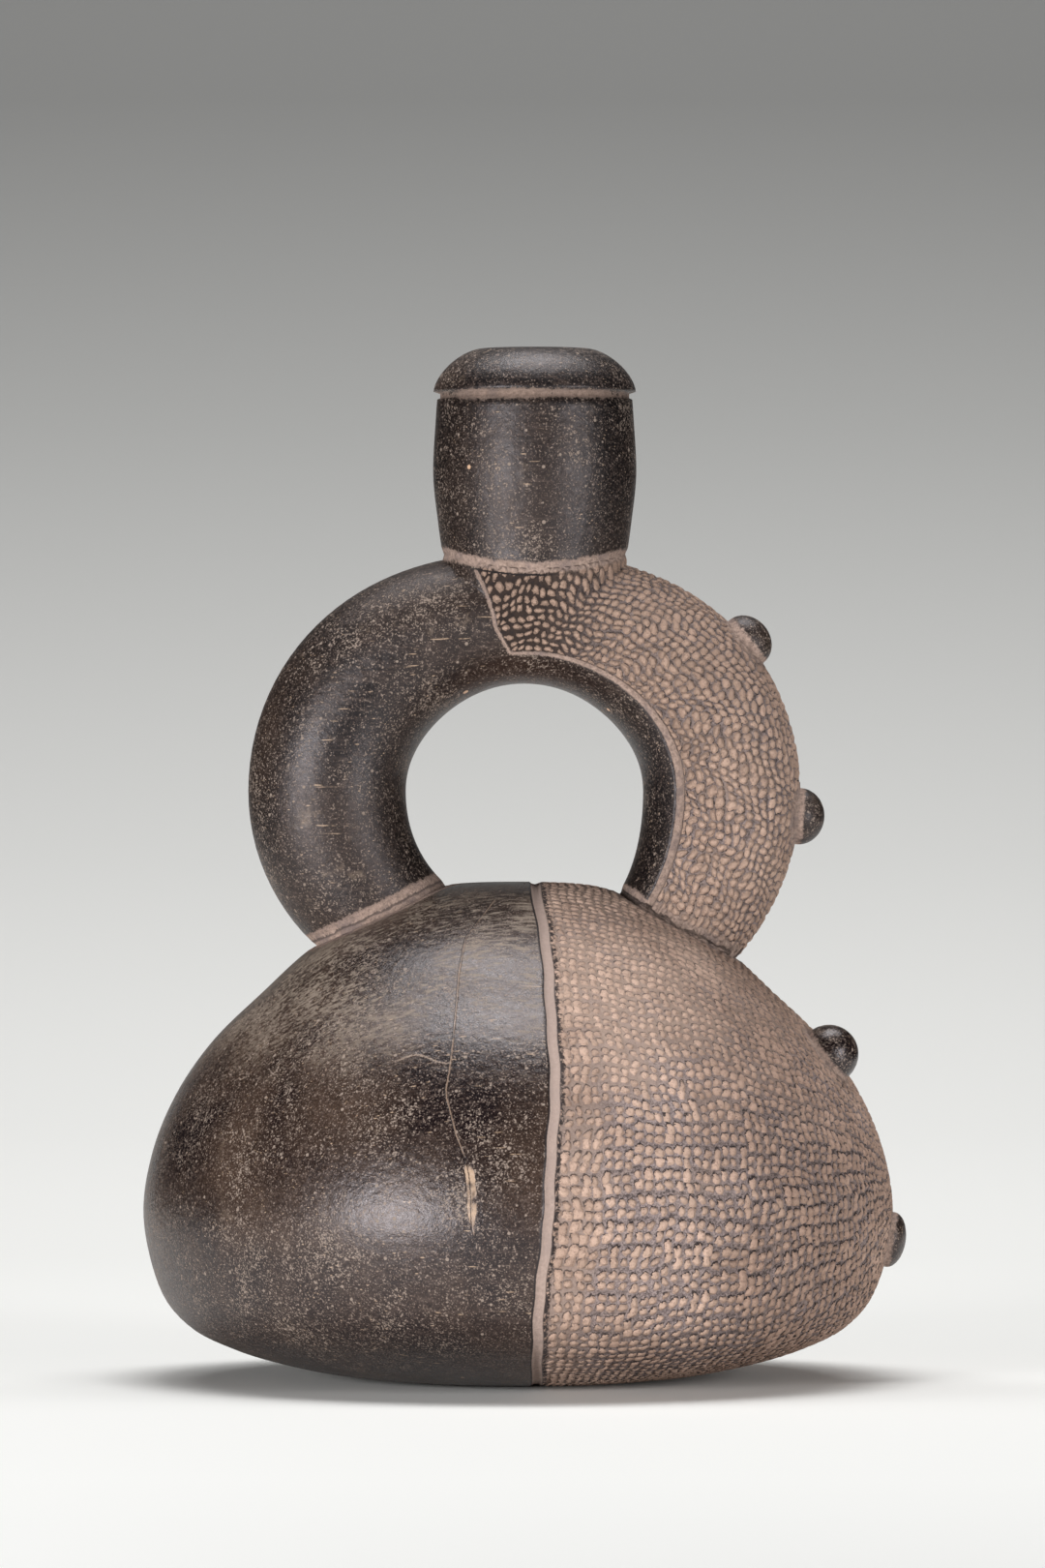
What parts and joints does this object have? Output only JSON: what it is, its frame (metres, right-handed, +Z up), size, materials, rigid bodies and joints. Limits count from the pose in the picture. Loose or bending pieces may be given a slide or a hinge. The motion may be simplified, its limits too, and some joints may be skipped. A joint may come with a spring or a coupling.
{
  "type": "stirrup spout vessel",
  "caption": "Round hollow fired-clay bottle whose stirrup handle is a tube with two legs that join in one thick-lipped spout, half burnished and half stamped",
  "frame": {"origin": "middle of the flat base, on the axis of the round body", "axes": "+Z up along the spout, the stirrup stands in the XZ plane, the front faces -Y and the bosses are on the +X side"},
  "size_m": [0.1708, 0.1676, 0.23],
  "materials": {
    "blackware": "burnished dark brown-black clay, with one half stamped in rows of small pellets over a tan ground"
  },
  "bodies": {
    "root": {"vessel": "blackware"}
  },
  "joints": []
}
